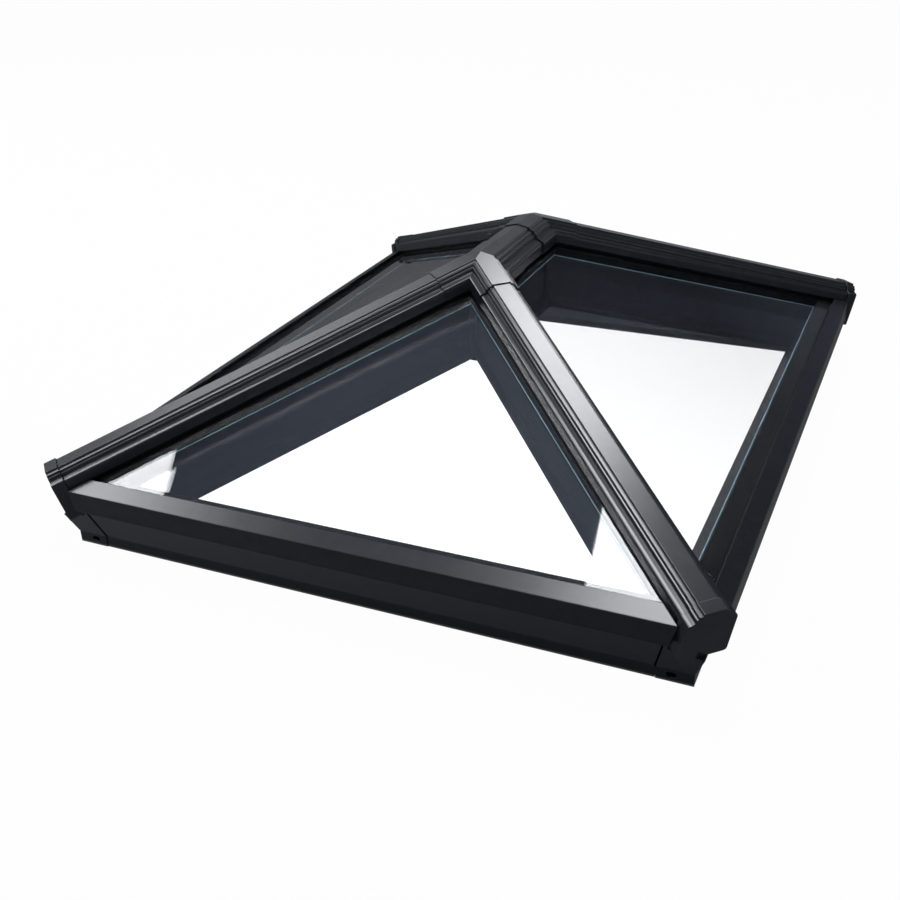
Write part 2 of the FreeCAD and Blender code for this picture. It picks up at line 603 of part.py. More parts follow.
def make_end_cap(name, yaw, end):
    body = new_body(f"hip_end_cap_{name}", hip_place(yaw, end))
    outer, inner = cap_halves("Sizes.proud")
    seam = "Frame.hip_run - Sizes.end_depth"
    side = outer[0][0]
    outer[0:0] = [(f"{side} - Sizes.end_round", "-Sizes.end_drop", "Sizes.end_round"),
                  (side, "Sizes.end_round - Sizes.end_drop")]
    inner.insert(0, (inner[0][0], "Sizes.end_wall - Sizes.end_drop"))
    pad(body, "YZ_Plane", [mirrored(outer)], "Sizes.end_depth + Sizes.end_drop", offset=seam)
    tilt = "tan(Frame.hip_slope - Sizes.end_lean * 1deg)"
    front = [
        ("Frame.hip_run", "0"),
        (f"Frame.hip_run + Sizes.end_drop * {tilt}", "-Sizes.end_drop"),
        ("Frame.hip_run + 2 * Sizes.end_drop", "-Sizes.end_drop - 5"),
        ("Frame.hip_run + 2 * Sizes.end_drop", "5"),
        ("Frame.hip_run", "5"),
    ]
    front.insert(2, (f"Frame.hip_run + Sizes.end_drop * {tilt}", "-Sizes.end_drop - 5"))
    pocket(body, "XZ_Plane", [front], "Frame.span")
    pocket(body, "YZ_Plane", [mirrored(inner)], "2 * Sizes.end_depth",
           offset="Frame.hip_run - Sizes.end_wall", side="One side")
    nodes.append(body)


def make_ridge_cap():
    body = new_body("ridge_cap", level_place("0", "0", "Frame.hip_top"))
    halves = [along_ridge(half) for half in cap_halves("0")]
    length = "2 * (Frame.ridge_half - Frame.ridge_arm - Sizes.cap_gap)"
    pad(body, "XZ_Plane", [channel(*halves)], length, side="Symmetric")
    nodes.append(body)


def make_boss_cap(name, yaw, end):
    """Three-way cover: two hip arms and a ridge arm that meet on upright planes through the apex."""
    arms = []
    outer, inner = cap_halves("Sizes.proud")
    for hand, turn, corner_x in (("right", "-45", "0"), ("left", "-135", "-Frame.span")):
        arm = new_body(f"boss_arm_{name}_{hand}", hip_place(f"{yaw} + {turn}", end))
        pad(arm, "YZ_Plane", [channel(outer, inner)], "Sizes.boss_arm + Sizes.cap_width",
            offset="-Sizes.cap_width")
        quarter = new_body(f"boss_quarter_{name}_{hand}", level_place(yaw, end))
        pad(quarter, "XY_Plane", [[(corner_x, "0"), (f"{corner_x} + Frame.span", "0"),
                                   (f"{corner_x} + Frame.span", "-Frame.span"), (corner_x, "-Frame.span")]],
            "2 * Frame.hip_top")
        trimmed = doc.addObject("Part::Common", f"boss_arm_trimmed_{name}_{hand}")
        trimmed.Base = arm
        trimmed.Tool = quarter
        arms.append(trimmed)
    ridge = new_body(f"boss_ridge_arm_{name}", level_place(yaw, end, "Frame.hip_top"))
    feature = pad(ridge, "XZ_Plane", [channel(along_ridge(outer), along_ridge(inner))], "Frame.ridge_arm")
    feature.Reversed = True
    arms.append(ridge)
    cover = doc.addObject("Part::MultiFuse", f"boss_cap_{name}")
    cover.Shapes = arms
    cover.Refine = True
    nodes.append(cover)


def make_ridge_beam():
    body = new_body("ridge_beam", level_place("0", "0", "Frame.hip_top"))
    fin = "(Sizes.fin_width / 2)"
    crown = ("-(Sizes.proud + Sizes.cap_plate) / cos(Frame.hip_slope)"
             " - (Sizes.cap_top - Sizes.cap_wall) / 2 * tan(Frame.hip_slope)")
    section = mirrored(along_ridge(rafter_half()) + [
        (fin, f"Frame.seat_ridge - Frame.hip_top - {fin} * tan(Sizes.pitch)"),
        (fin, crown),
    ])
    pad(body, "XZ_Plane", [section], "2 * (Frame.ridge_half - Sizes.boss_back)", side="Symmetric")
    nodes.append(body)


def make_ridge_boss(name, yaw, end):
    """Column whose faces take the two rafters and the ridge beam, with the stub under the boss cap."""
    body = new_body(f"ridge_boss_{name}", level_place(yaw, end))
    half = "Sizes.rafter_width / 2"
    near = f"(Sizes.boss_reach - {half}) / sqrt(2)"
    far = f"(Sizes.boss_reach + {half}) / sqrt(2)"
    flank = f"sqrt(2) * {half}"
    plan = mirrored([(near, f"-({far})"), (far, f"-({near})"), (flank, "0"), (flank, "Sizes.boss_back")])
    pad(body, "XY_Plane", [plan], "Frame.boss_ceiling - Frame.boss_floor", offset="Frame.boss_floor")
    stub = new_sketch(body, "XY_Plane", "Frame.boss_ceiling")
    circle = Part.Circle(FreeCAD.Vector(0, 0, 0), FreeCAD.Vector(0, 0, 1), number("Sizes.stub_radius"))
    stub.addGeometry(circle)
    stub.addConstraint(Sketcher.Constraint("Coincident", 0, 3, -1, 1))
    radius = stub.addConstraint(Sketcher.Constraint("Radius", 0, number("Sizes.stub_radius")))
    stub.setExpression(f"Constraints[{radius}]", "Sizes.stub_radius")
    post = body.newObject("PartDesign::Pad", f"{body.Name}_stub")
    post.Profile = stub
    post.setExpression("Length", "Frame.stub_top - Frame.boss_ceiling")
    nodes.append(body)


def check():
    """Stops before anything is written if an object failed, a cut missed or a shape is bad."""
    doc.recompute()
    for item in doc.Objects:
        if "Invalid" in item.State or "Error" in item.State:
            raise RuntimeError(f"{item.Label} failed: {item.State}")
        if item.TypeId == "PartDesign::Pocket":
            if item.BaseFeature.Shape.Volume - item.Shape.Volume < 1:
                raise RuntimeError(f"{item.Label} cut nothing")
    for node in nodes:
        shape = node.Shape
        if shape.isNull() or not shape.isValid() or len(shape.Solids) != 1:
            raise RuntimeError(f"{node.Label} is not one valid solid")


def build():
    rooms = make_end_rooms()
    for name, yaw, end, extra in SIDES:
        make_ring_beam(name, yaw, end, extra, rooms)
        make_unit(name, yaw, end, extra)
        make_eaves_cap(name, yaw, end, extra)
    opening = make_opening()
    for name, yaw, end in HIPS:
        make_corner_block(name, yaw, end, rooms)
        make_rafter(name, yaw, end, opening)
        make_hip_cap(name, yaw, end)
        make_end_cap(name, yaw, end)
    for name, yaw, end in ENDS:
        make_ridge_boss(name, yaw, end)
        make_boss_cap(name, yaw, end)
    make_ridge_beam()
    make_ridge_cap()


build()
check()
os.makedirs("parts", exist_ok=True)
for node in nodes:
    node.Shape.exportStep(f"parts/{node.Label}.step")
print(len(nodes), "sub-parts written")
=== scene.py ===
import math

import bmesh
import bpy
from mathutils import Matrix, Vector


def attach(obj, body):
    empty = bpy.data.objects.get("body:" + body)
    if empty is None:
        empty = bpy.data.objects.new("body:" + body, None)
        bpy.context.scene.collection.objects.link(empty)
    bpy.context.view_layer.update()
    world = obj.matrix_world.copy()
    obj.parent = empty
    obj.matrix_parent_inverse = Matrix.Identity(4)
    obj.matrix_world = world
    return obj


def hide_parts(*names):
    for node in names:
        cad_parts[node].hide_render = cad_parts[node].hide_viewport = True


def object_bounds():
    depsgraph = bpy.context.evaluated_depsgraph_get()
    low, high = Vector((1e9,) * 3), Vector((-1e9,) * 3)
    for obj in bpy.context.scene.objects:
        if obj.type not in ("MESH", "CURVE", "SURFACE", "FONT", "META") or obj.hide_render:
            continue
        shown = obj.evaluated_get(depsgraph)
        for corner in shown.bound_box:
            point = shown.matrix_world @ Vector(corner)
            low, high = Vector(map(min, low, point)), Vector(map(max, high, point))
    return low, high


ROOT_TWO = math.sqrt(2)

# Sizes of the solids, in metres.
RIDGE_HALF = 0.12  # from the middle to each apex, along Y
UNDER_RIDGE = 0.32469  # height at which the undersides of the glazing units would meet
HIP_TOP = 0.38602  # top of the boss caps at the apex
PITCH = math.radians(25.0)
HIP_SLOPE = math.radians(18.249)
HIP_SINE, HIP_COSINE, HIP_TANGENT = math.sin(HIP_SLOPE), math.cos(HIP_SLOPE), math.tan(HIP_SLOPE)

# Right half of a hip cap's section in millimetres: (out from the middle, up from the top of the boss caps).
MOULDING = [(14.0, -2.0), (14.5, -2.5), (15.2, -5.0), (16.0, -5.7), (16.7, -5.6), (19.9, -6.1), (20.6, -7.1),
            (20.9, -8.8), (21.3, -9.7), (23.2, -10.1), (23.8, -11.2), (24.2, -14.0), (24.2, -15.6), (24.5, -16.0),
            (29.0, -18.0), (32.0, -18.7), (33.1, -19.8), (33.7, -21.7), (34.0, -24.8), (34.0, -36.31)]
LINING = [(13.0, -7.5), (20.0, -12.0), (23.0, -19.5), (29.0, -20.5), (31.9, -26.0), (32.0, -36.31)]
# How far that section is grown, in millimetres: hip and ridge caps, boss and end caps, the end caps' bevelled rim.
FLUSH, PROUD, BEVEL_PROUD = 0.0, 2.0, 1.3
CLOSE = 1e-6  # points nearer than this are one point

# Places along a hip, in metres down its slope from the apex, and the open joint from ridge cap to boss cap.
BOSS_ARM_END = 0.0910
HIP_CAP_START, HIP_CAP_END = 0.0916, 0.76117
END_CAP_START, END_CAP_BEVEL, END_CAP_INSIDE, END_CAP_FRONT = 0.76177, 0.7625, 0.77927, 0.78177
RIDGE_JOINT = 0.0006

# The end caps: how far the front leans out for each metre down, the lower corner of the right half in metres, and
# the lining as a share of the outline, drawn in about a height.
END_CAP_LEAN = 0.057
END_CAP_FOOT = [(0.032, -0.086), (0.0348, -0.0848), (0.036, -0.082)]
END_LINING_SHARE, END_LINING_MIDDLE = 0.955, -0.044

# Rings on a glazing unit, in metres: the foot's level distance from the apex, and the gap to the hips.
END_FOOT, SIDE_FOOT, SIGHT_GAP = 0.4797, 0.4683, 0.0300
SIGHT_WIDTH = 0.0011
SEAL_RING = (0.4935, 0.0160)
EDGE_RING = (0.5050, 0.0100)
UNITS = (("front", 0, -1, 0, END_FOOT), ("right", 90, 0, RIDGE_HALF, SIDE_FOOT),
         ("back", 180, 1, 0, END_FOOT), ("left", 270, 0, RIDGE_HALF, SIDE_FOOT))

# Sections between two such rings: (share of the way out, height above the unit's underside in metres).
LOW, HIGH, BROKEN_EDGE = 0.00425, 0.01975, 0.0012
BAR_SECTION = [(0.0, LOW + BROKEN_EDGE), (0.07, LOW), (1.0, LOW),
               (1.0, HIGH), (0.07, HIGH), (0.0, HIGH - BROKEN_EDGE)]
SEAL_SECTION = [(0.02, LOW), (1.0, LOW), (0.97, 0.008), (0.97, 0.016), (1.0, HIGH), (0.02, HIGH)]
SIGHT_SECTION = [(0.0, 0.0041), (1.0, 0.0041), (1.0, 0.0053), (0.4, 0.0053), (0.0, 0.0046)]

# Noise in the materials: scale, detail and, where it is not the usual one, roughness.
MOTTLE, PATCHES, PEEL = (38.0, 4.0), (9.0, 5.0, 0.6), (1400.0, 2.0)
TINT, STREAK, CLOUD = (6.0, 3.0), (60.0, 3.0), (0.7, 2.0)
USUAL_ROUGHNESS = 0.55
DARK_STOP, LIGHT_STOP = 0.3, 0.7  # noise at which the dark shade ends and the light one begins

# The coat's two shades, its range of roughness, its shine and its orange peel.
COAT_DARK, COAT_LIGHT = (0.0185, 0.0200, 0.0245), (0.0228, 0.0245, 0.0298)
COAT_ROUGH = (0.23, 0.29)
COAT_SHINE = 0.36
PEEL_STRENGTH, PEEL_DEPTH = 0.05, 0.0004
CAP_ARRIS, EAVES_ARRIS = 0.0005, 0.0014  # radius of the softened edges, in metres
ARRIS_SAMPLES = 6
MATT_SHINE, MATT_SPREAD = 0.03, 0.08  # the spread is of roughness, to either side
GLASS_IOR = 1.34
GLASS_TINT = [(0.35, (0.986, 0.995, 0.998)), (0.65, (0.993, 0.999, 1.0))]
GLASS_SHADOW = (0.94, 0.96, 0.965, 1)  # what each face of the glass lets through to a shadow

# The floor: half its width in metres, its brightness straight on and through glass, and the share of it that glows.
FLOOR_REACH = 60.0
FLOOR_BRIGHT, FLOOR_THROUGH_GLASS = 1.0, 1.3
FLOOR_GLOW = 0.98
FLOOR_DARK, FLOOR_LIGHT = (0.86, 0.86, 0.86), (0.88, 0.88, 0.88)
SWITCH = 0.5  # between the depths 0 and 1 of a ray

# The flags, in metres: how far they pass the base, where they end behind it, and their heights over the floor.
FLAG_REACH, FLAG_FAR = 1.3, 9.0
FLOOR_FLAG_LEVEL, LEFT_FLAG_LEVEL = 0.003, 0.006
LEFT_FLAG_NEAR, LEFT_FLAG_GAP = -0.5, 0.01
SIDE_FLAG_GAP, SIDE_FLAG_NEAR, SIDE_FLAG_FAR, SIDE_FLAG_TOP = 0.75, -1.0, 4.0, 0.6
FLAG_FADE = 1.4  # a flag's brightness runs from its left to its right value between minus and plus this X
FLOOR_FLAG_SHADE, FLOOR_FLAG_LEFT, FLOOR_FLAG_RIGHT = (1.0, 1.01, 1.06), 0.31, 0.06
LEFT_FLAG_SHADE, LEFT_FLAG_BRIGHT = (1.0, 1.05, 1.15), 0.1

# The room's colour by the upward share of the direction looked in, dark above a pale horizon.
ROOM = [(0.0, (0.27, 0.29, 0.34)), (0.12, (0.19, 0.21, 0.25)), (0.26, (0.11, 0.13, 0.16)),
        (0.36, (0.017, 0.02, 0.027)), (0.62, (0.017, 0.02, 0.027)), (0.8, (0.19, 0.22, 0.29)),
        (1.0, (0.33, 0.39, 0.5))]

# Lamps: name, place, target, width and length in metres, brightness, and whether they light matt surfaces too.
LAMP_COLOUR = (0.965, 0.975, 1.0)
LAMPS = (
    ("lamp_over", (0.125, 0.8, 2.5), (0.125, 0.8, 0), 0.75, 2.9, 5.0, True),
    ("lamp_left", (-2.52, 0.2, 2.5), (-2.52, 0.2, 0), 1.02, 2.6, 5.0, True),
    ("lamp_window", (-3.9, 3.2, 2.0), (0, 0, 0.2), 2.4, 1.8, 1.6, True),
    ("shine_over", (0.125, -0.1, 2.52), (0.125, -0.1, 0), 0.75, 4.9, 15.6, False),
    ("shine_left", (-3.02, -0.3, 2.52), (-3.02, -0.3, 0), 2.02, 4.2, 9.4, False),
    ("shine_ridge", (-1.58, 4.0, 1.69), (0, 0, 0.37), 1.6, 1.0, 0.62, False),
)

# The camera as solved from the photograph, its place in metres and its focal length in pixels.
CAMERA_PLACE = (0.71915, -1.8332, 0.97725)
CAMERA_RIGHT = Vector((0.9144, 0.4036, -0.0293))
CAMERA_UP = Vector((-0.1619, 0.4313, 0.8876))
CAMERA_AHEAD = Vector((-0.3709, 0.8070, -0.4597))
FOCAL_PIXELS, PHOTO_PIXELS, SENSOR = 1155.5, 900, 36.0

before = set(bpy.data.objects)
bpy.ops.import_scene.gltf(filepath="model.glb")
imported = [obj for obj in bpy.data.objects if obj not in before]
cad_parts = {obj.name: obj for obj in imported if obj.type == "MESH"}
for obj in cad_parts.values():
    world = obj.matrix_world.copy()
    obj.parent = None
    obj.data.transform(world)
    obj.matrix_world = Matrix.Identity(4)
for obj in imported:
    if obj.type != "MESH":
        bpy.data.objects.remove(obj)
cad_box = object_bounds()
scene = bpy.context.scene
scene.view_settings.view_transform = "Standard"


def add_object(name, data):
    """Puts a mesh, a lamp or a camera into the scene."""
    thing = bpy.data.objects.new(name, data)
    scene.collection.objects.link(thing)
    return thing


def node_adder(tree):
    """Empties a node tree; returns a helper that adds a node and sets its inputs or options by name."""
    tree.nodes.clear()

    def add(kind, **values):
        node = tree.nodes.new(kind)
        for key, value in values.items():
            if key in node.inputs:
                node.inputs[key].default_value = value
            else:
                setattr(node, key, value)
        return node

    return add


def new_material(name):
    """A material with an empty node tree; returns both and the helper that adds nodes."""
    material = bpy.data.materials.new(name)
    material.use_nodes = True
    return material, material.node_tree, node_adder(material.node_tree)


def link(tree, start, out, end, into):
    """Joins a node's output to a node's input, each given by its name or its number."""
    tree.links.new(start.outputs[out], end.inputs[into])


def noise(tree, add, coordinates, scale, detail, roughness=USUAL_ROUGHNESS):
    """Noise in the object's own coordinates."""
    node = add("ShaderNodeTexNoise", Scale=scale, Detail=detail, Roughness=roughness)
    link(tree, coordinates, "Object", node, "Vector")
    return node


def ramp(tree, add, source, out, stops):
    """Colours by a value, from stops of (value, colour)."""
    node = add("ShaderNodeValToRGB")
    elements = node.color_ramp.elements
    while len(elements) < len(stops):
        elements.new(0.5)
    for element, (place, colour) in zip(elements, stops):
        element.position = place
        element.color = (*colour, 1)
    link(tree, source, out, node, "Fac")
    return node


def to_range(tree, add, source, out, low, high):
    """A value between 0 and 1, carried over to the range from low to high."""
    node = add("ShaderNodeMapRange", **{"To Min": low, "To Max": high})
    link(tree, source, out, node, "Value")
    return node


def calculate(tree, add, operation, *terms):
    """A calculation with one or two terms, each a number or a node with the name of its output."""
    node = add("ShaderNodeMath", operation=operation)
    for index, term in enumerate(terms):
        if isinstance(term, tuple):
            link(tree, *term, node, index)
        else:
            node.inputs[index].default_value = term
    return node


def show(tree, add, shader):
    """Ends a material in a shader."""
    link(tree, shader, 0, add("ShaderNodeOutputMaterial"), "Surface")


def show_mix(tree, add, factor, out, first, second):
    """Ends a material in a mix: the first shader where the factor is 0, the second where it is 1."""
    mix = add("ShaderNodeMixShader")
    link(tree, factor, out, mix, "Fac")
    link(tree, first, 0, mix, 1)
    link(tree, second, 0, mix, 2)
    show(tree, add, mix)


def coat_material(name, arris_radius):
    """Satin powder coat: a fine orange peel, faint mottling, dust-softened patches and softened arrises."""
    material, tree, add = new_material(name)
    place = add("ShaderNodeTexCoord")
    surface = add("ShaderNodeBsdfPrincipled", **{"Specular IOR Level": COAT_SHINE})
    mottle = noise(tree, add, place, *MOTTLE)
    colour = ramp(tree, add, mottle, "Fac", [(DARK_STOP, COAT_DARK), (LIGHT_STOP, COAT_LIGHT)])
    link(tree, colour, "Color", surface, "Base Color")
    patches = noise(tree, add, place, *PATCHES)
    rough = to_range(tree, add, patches, "Fac", *COAT_ROUGH)
    link(tree, rough, "Result", surface, "Roughness")
    peel = noise(tree, add, place, *PEEL)
    bump = add("ShaderNodeBump", Strength=PEEL_STRENGTH, Distance=PEEL_DEPTH)
    link(tree, peel, "Fac", bump, "Height")
    arris = add("ShaderNodeBevel", samples=ARRIS_SAMPLES, Radius=arris_radius)
    link(tree, arris, "Normal", bump, "Normal")
    link(tree, bump, "Normal", surface, "Normal")
    show(tree, add, surface)
    return material


def glass_material():
    """Clear float glass with a trace of tint, which lets the lamps through."""
    material, tree, add = new_material("clear_glass")
    place = add("ShaderNodeTexCoord")
    surface = add("ShaderNodeBsdfPrincipled", IOR=GLASS_IOR, Roughness=0.0, **{"Transmission Weight": 1.0})
    tint = noise(tree, add, place, *TINT)
    colour = ramp(tree, add, tint, "Fac", GLASS_TINT)
    link(tree, colour, "Color", surface, "Base Color")
    clear = add("ShaderNodeBsdfTransparent", Color=GLASS_SHADOW)
    path = add("ShaderNodeLightPath")
    show_mix(tree, add, path, "Is Shadow Ray", surface, clear)
    return material


def matt_material(name, dark, light, rough):
    """A matt surface, dry and slightly streaked: dark seals and spacers, a pale strip of painted highlight along the
    spacers, and a darker copy of the coat that paints shade on the inside of the frame.
    """
    material, tree, add = new_material(name)
    place = add("ShaderNodeTexCoord")
    surface = add("ShaderNodeBsdfPrincipled", **{"Specular IOR Level": MATT_SHINE})
    streak = noise(tree, add, place, *STREAK)
    colour = ramp(tree, add, streak, "Fac", [(DARK_STOP, dark), (LIGHT_STOP, light)])
    link(tree, colour, "Color", surface, "Base Color")
    patch = to_range(tree, add, streak, "Fac", rough - MATT_SPREAD, rough + MATT_SPREAD)
    link(tree, patch, "Result", surface, "Roughness")
    show(tree, add, surface)
    return material


coat = coat_material("anthracite_coat", CAP_ARRIS)
eaves_coat = coat_material("anthracite_eaves", EAVES_ARRIS)
# The inside of the frame is the same anthracite coat; its darker colour here is painted shade.
inner_coat_painted_shade = matt_material("anthracite_inside_painted_shade", (0.0125, 0.0135, 0.0165), (0.0165, 0.0178, 0.0215), 0.45)
glass = glass_material()
spacer_black = matt_material("spacer_black", (0.003, 0.0033, 0.004), (0.005, 0.0055, 0.0065), 0.7)
# Pale bluish colour of the strip along the spacers' inner edge: painted highlight.
sight_painted_highlight = matt_material("sight_painted_highlight", (0.11, 0.17, 0.2), (0.16, 0.23, 0.26), 0.35)
sealant = matt_material("sealant", (0.006, 0.0085, 0.0095), (0.009, 0.0125, 0.014), 0.5)
seal_black = matt_material("seal_black", (0.004, 0.004, 0.005), (0.008, 0.008, 0.009), 0.6)

# The first row whose names a node's name starts with gives its finish.
FINISH = (
    (("inner_pane", "outer_pane"), glass),
    (("spacer",), spacer_black),
    (("gasket",), seal_black),
    # Rafters, ridge beam and ridge boss under the glass take the darker copy of the coat: painted shade.
    (("hip_rafter", "ridge_beam", "ridge_boss"), inner_coat_painted_shade),
    (("eaves_cap", "ring_beam", "corner_block"), eaves_coat),
    (("",), coat),
)
for name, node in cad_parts.items():
    finish = next(material for starts, material in FINISH if name.startswith(starts))
    node.data.materials.clear()
    node.data.materials.append(finish)


def join_rows(mesh, before, after):
    """Faces between two closed rows with the same number of vertices."""
    for index in range(len(before)):
        following = (index + 1) % len(before)
        mesh.faces.new((before[index], before[following], after[following], after[index]))


def add_piece(name, mesh, material):
    """Puts a finished bmesh into the scene."""
    bmesh.ops.recalc_face_normals(mesh, faces=mesh.faces)
    data = bpy.data.meshes.new(name)
    mesh.to_mesh(data)
    mesh.free()
    data.materials.append(material)
    return add_object(name, data)


def unit_place(yaw, end):
    """Frame on the underside of a glazing unit: X level, Y up the slope, Z out of the glass."""
    lift = Matrix.Translation((0, end * RIDGE_HALF, UNDER_RIDGE))
    return lift @ Matrix.Rotation(math.radians(yaw), 4, "Z") @ Matrix.Rotation(PITCH, 4, "X")


def unit_ring(extra, foot, gap):
    """Corners of an outline on a unit's underside; extra is half the ridge, and a unit without it is a triangle."""
    slope = math.cos(PITCH)
    hip = ROOT_TWO * gap
    reach = extra + foot - hip
    corners = [(-reach, -foot / slope), (reach, -foot / slope), (extra, -hip / slope), (-extra, -hip / slope)]
    if extra == 0:
        corners.pop()
    return [Vector((x, y, 0)) for x, y in corners]


def make_ring(name, place, inner, outer, section, material):
    """A mitred frame between two rings of corners; its section runs (share of the way out, height)."""
    mesh = bmesh.new()
    rows = []
    for share, height in section:
        lift = Vector((0, 0, height))
        rows.append([mesh.verts.new(place @ (one.lerp(other, share) + lift)) for one, other in zip(inner, outer)])
    for before, after in zip(rows, rows[1:] + rows[:1]):
        join_rows(mesh, before, after)
    piece = add_piece(name, mesh, material)
    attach(piece, "root")
    return piece


def make_spacers():
    """Spacer bars with broken inner edges, the sealant outside them and, inside them, a pale strip that is a painted
    highlight along the spacers' inner edge.
    """
    for side, yaw, end, extra, foot in UNITS:
        place = unit_place(yaw, end)
        sight = unit_ring(extra, foot, SIGHT_GAP)
        line = unit_ring(extra, foot - SIGHT_WIDTH, SIGHT_GAP + SIGHT_WIDTH)
        seal = unit_ring(extra, *SEAL_RING)
        edge = unit_ring(extra, *EDGE_RING)
        bar = make_ring("spacer_bar_" + side, place, sight, seal, BAR_SECTION, spacer_black)
        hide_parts("spacer_" + side)
        make_ring("spacer_seal_" + side, place, seal, edge, SEAL_SECTION, sealant)
        # The sight line is a thin pale strip standing for the highlight on the spacer's inner edge: painted
        # highlight.
        make_ring("sight_line_" + side, place, line, sight, SIGHT_SECTION, sight_painted_highlight)


def grown(half, grow):
    """A half section in metres, grown outward and upward by millimetres, with its foot left at its own height."""
    foot = half[-1][1]
    return [((across + grow) / 1000, (up if up == foot else up + grow) / 1000) for across, up in half]


def mirrored(half):
    """A right half from the middle outward, gone round from its foot on the right to its foot on the left."""
    return list(reversed(half)) + [(0.0, half[0][1])] + [(-across, up) for across, up in half]


def channel(grow):
    """Closed outline of an open-bottomed cap: round the outside, then back along the lining."""
    return mirrored(grown(MOULDING, grow)) + list(reversed(mirrored(grown(LINING, grow))))


def end_outline(grow):
    """Closed outline of an end cap, which reaches further down than the caps behind it."""
    half = END_CAP_FOOT + list(reversed(grown(MOULDING, grow)))
    return half + [(-across, up) for across, up in reversed(half)]


def hip_point(across, up, along, side, end):
    """A point of a hip section that lies so far down the slope from the apex."""
    run = along * HIP_COSINE + up * HIP_SINE
    drop = up * HIP_COSINE - along * HIP_SINE
    return Vector((side * (run + across) / ROOT_TWO, end * (RIDGE_HALF + (run - across) / ROOT_TWO), HIP_TOP + drop))


def hip_row(outline, along, side, end):
    """A section square to its hip."""
    return [hip_point(across, up, along, side, end) for across, up in outline]


def mitre_row(outline, side, end):
    """A hip's section on the upright planes where hips and ridge meet."""
    return [hip_point(across, up, (abs(across) - up * HIP_SINE) / HIP_COSINE, side, end) for across, up in outline]


def ridge_row(outline, y):
    """The ridge's section, worked out from the hip's so that the edges run on."""
    return [Vector((ROOT_TWO * across, y, HIP_TOP - abs(across) * HIP_TANGENT + up / HIP_COSINE))
            for across, up in outline]


def make_cap(name, node, strips, closed):
    """A cap from strips between rows of points, with the closed rows filled in."""
    mesh = bmesh.new()
    for rows in strips:
        drawn = [[mesh.verts.new(point) for point in row] for row in rows]
        for before, after in zip(drawn, drawn[1:]):
            join_rows(mesh, before, after)
    for row in closed:
        mesh.faces.new([mesh.verts.new(point) for point in row])
    bmesh.ops.remove_doubles(mesh, verts=mesh.verts, dist=CLOSE)
    piece = add_piece(name, mesh, coat)
    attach(piece, "root")
    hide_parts(node)


def make_caps():
    """Hip, ridge, boss and end caps with the stepped mouldings whose ledges draw light lines along the hips."""
    plain, proud = channel(FLUSH), channel(PROUD)
    ridge_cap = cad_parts["ridge_cap"]
    ridge_end = max((ridge_cap.matrix_world @ corner.co).y for corner in ridge_cap.data.vertices)
    rows = [ridge_row(plain, -ridge_end), ridge_row(plain, ridge_end)]
    make_cap("ridge_moulding", "ridge_cap", [rows], rows)

    shell, bevel = end_outline(PROUD), end_outline(BEVEL_PROUD)
    share, middle = END_LINING_SHARE, END_LINING_MIDDLE
    lining = [(share * across, share * (up - middle) + middle) for across, up in shell]
    for end_name, end in (("front", -1), ("back", 1)):
        arms = [[ridge_row(proud, end * RIDGE_HALF), ridge_row(proud, end * (ridge_end + RIDGE_JOINT))]]
        for side_name, side in (("right", 1), ("left", -1)):
            corner = end_name + "_" + side_name
            rows = [hip_row(plain, HIP_CAP_START, side, end), hip_row(plain, HIP_CAP_END, side, end)]
            make_cap("hip_moulding_" + corner, "hip_cap_" + corner, [rows], rows)
            arms.append([mitre_row(proud, side, end), hip_row(proud, BOSS_ARM_END, side, end)])
            front = [hip_point(across, up, END_CAP_FRONT - END_CAP_LEAN * up, side, end) for across, up in shell]
            inside = hip_row(lining, END_CAP_INSIDE, side, end)
            rows = [front, hip_row(shell, END_CAP_BEVEL, side, end), hip_row(bevel, END_CAP_START, side, end),
                    hip_row(lining, END_CAP_START, side, end), inside]
            make_cap("end_moulding_" + corner, "hip_end_cap_" + corner, [rows], [front, inside])
        make_cap("boss_moulding_" + end_name, "boss_cap_" + end_name, arms, [arm[1] for arm in arms])


def level_corners(left, right, near, far, height):
    """Corners of a level rectangle."""
    return [(left, near, height), (right, near, height), (right, far, height), (left, far, height)]


def make_sheet(name, corners):
    """A single face with four corners, for the floor and the flags."""
    mesh = bpy.data.meshes.new(name)
    mesh.from_pydata(corners, [], [(0, 1, 2, 3)])
    return add_object(name, mesh)


def make_floor():
    """A wide pale floor that shows white to the lens, in reflections and through the glass.

    It glows only where the ray has met no matt surface, so that it does not light the lantern from below."""
    floor = make_sheet("floor", level_corners(-FLOOR_REACH, FLOOR_REACH, -FLOOR_REACH, FLOOR_REACH, 0))
    material, tree, add = new_material("pale_floor")
    place = add("ShaderNodeTexCoord")
    cloud = noise(tree, add, place, *CLOUD)
    colour = ramp(tree, add, cloud, "Fac", [(DARK_STOP, FLOOR_DARK), (LIGHT_STOP, FLOOR_LIGHT)])
    matt = add("ShaderNodeBsdfDiffuse")
    link(tree, colour, "Color", matt, "Color")
    white = add("ShaderNodeEmission")
    path = add("ShaderNodeLightPath")
    strength = to_range(tree, add, path, "Is Transmission Ray", FLOOR_BRIGHT, FLOOR_THROUGH_GLASS)
    link(tree, strength, "Result", white, "Strength")
    seen = calculate(tree, add, "MAXIMUM", (path, "Is Camera Ray"), (path, "Is Glossy Ray"))
    shown = calculate(tree, add, "MAXIMUM", (seen, "Value"), (path, "Is Transmission Ray"))
    direct = calculate(tree, add, "LESS_THAN", (path, "Diffuse Depth"), SWITCH)
    glow = to_range(tree, add, direct, "Value", 0.0, FLOOR_GLOW)
    share = calculate(tree, add, "MULTIPLY", (shown, "Value"), (glow, "Result"))
    show_mix(tree, add, share, "Value", matt, white)
    floor.data.materials.append(material)


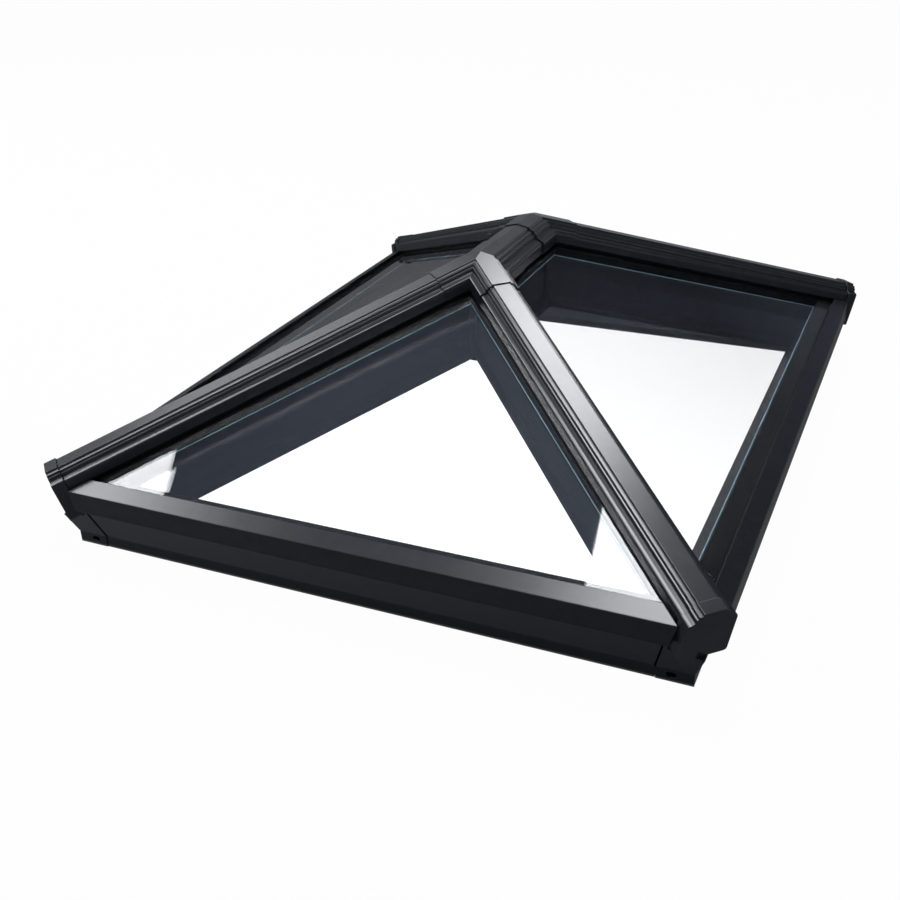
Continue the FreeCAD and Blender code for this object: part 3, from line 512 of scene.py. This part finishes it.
def make_world():
    """A dim room with a pale horizon and ceiling, so that the coat and the glass mirror mostly dark."""
    world = bpy.data.worlds.new("room")
    scene.world = world
    world.use_nodes = True
    tree = world.node_tree
    add = node_adder(tree)
    place = add("ShaderNodeTexCoord")
    split = add("ShaderNodeSeparateXYZ")
    link(tree, place, "Generated", split, "Vector")
    height = ramp(tree, add, split, "Z", ROOM)
    light = add("ShaderNodeBackground")
    link(tree, height, "Color", light, "Color")
    link(tree, light, "Background", add("ShaderNodeOutputWorld"), "Surface")


def make_lamp(name, place, target, width, length, bright, lights_matt):
    """A rectangular soft lamp, its length along the world's Y where it hangs level."""
    data = bpy.data.lights.new(name, "AREA")
    data.shape = "RECTANGLE"
    data.size = width
    data.size_y = length
    data.energy = bright * math.pi * width * length
    data.color = LAMP_COLOUR
    lamp = add_object(name, data)
    way = Vector(target) - Vector(place)
    lamp.location = place
    lamp.rotation_euler = way.to_track_quat("-Z", "Y").to_euler() if way.xy.length > CLOSE else (0, 0, 0)
    lamp.visible_diffuse = lights_matt


def make_card(name, corners, shade, left, right):
    """A dim flag that only shows in the shine of the coat and the glass, and is clear to a straight view."""
    card = make_sheet(name, corners)
    material, tree, add = new_material(name)
    path = add("ShaderNodeLightPath")
    in_shine = calculate(tree, add, "GREATER_THAN", (path, "Glossy Depth"), SWITCH)
    clear = add("ShaderNodeBsdfTransparent")
    dim = add("ShaderNodeEmission", Color=(*shade, 1))
    place = add("ShaderNodeTexCoord")
    split = add("ShaderNodeSeparateXYZ")
    link(tree, place, "Object", split, "Vector")
    level = to_range(tree, add, split, "X", left, right)
    level.inputs["From Min"].default_value = -FLAG_FADE
    level.inputs["From Max"].default_value = FLAG_FADE
    link(tree, level, "Result", dim, "Strength")
    show_mix(tree, add, in_shine, "Value", clear, dim)
    card.data.materials.append(material)
    card.visible_camera = False
    card.visible_diffuse = False
    card.visible_volume_scatter = False
    card.visible_shadow = False


def make_cards():
    """A dim flag on the floor under and round the base, a darker one to its left and a dim screen there."""
    low, high = cad_box
    left = low[0] - FLAG_REACH
    make_card("floor_flag",
              level_corners(left, high[0] + FLAG_REACH, low[1] - FLAG_REACH, FLAG_FAR, FLOOR_FLAG_LEVEL),
              FLOOR_FLAG_SHADE, FLOOR_FLAG_LEFT, FLOOR_FLAG_RIGHT)
    make_card("left_flag", level_corners(left, low[0] - LEFT_FLAG_GAP, LEFT_FLAG_NEAR, FLAG_FAR, LEFT_FLAG_LEVEL),
              LEFT_FLAG_SHADE, LEFT_FLAG_BRIGHT, LEFT_FLAG_BRIGHT)
    x = low[0] - SIDE_FLAG_GAP
    make_card("side_flag", [(x, SIDE_FLAG_NEAR, 0), (x, SIDE_FLAG_FAR, 0),
                            (x, SIDE_FLAG_FAR, SIDE_FLAG_TOP), (x, SIDE_FLAG_NEAR, SIDE_FLAG_TOP)],
              LEFT_FLAG_SHADE, LEFT_FLAG_BRIGHT, LEFT_FLAG_BRIGHT)


def make_camera():
    """The photograph's own view."""
    data = bpy.data.cameras.new("camera")
    data.sensor_width = SENSOR
    data.lens = FOCAL_PIXELS / PHOTO_PIXELS * SENSOR
    camera = add_object("camera", data)
    turn = Matrix((CAMERA_RIGHT, CAMERA_UP, -CAMERA_AHEAD)).transposed().to_4x4()
    camera.matrix_world = Matrix.Translation(CAMERA_PLACE) @ turn
    scene.camera = camera


make_spacers()
make_caps()
make_floor()
make_world()
make_cards()
for lamp in LAMPS:
    make_lamp(*lamp)
make_camera()
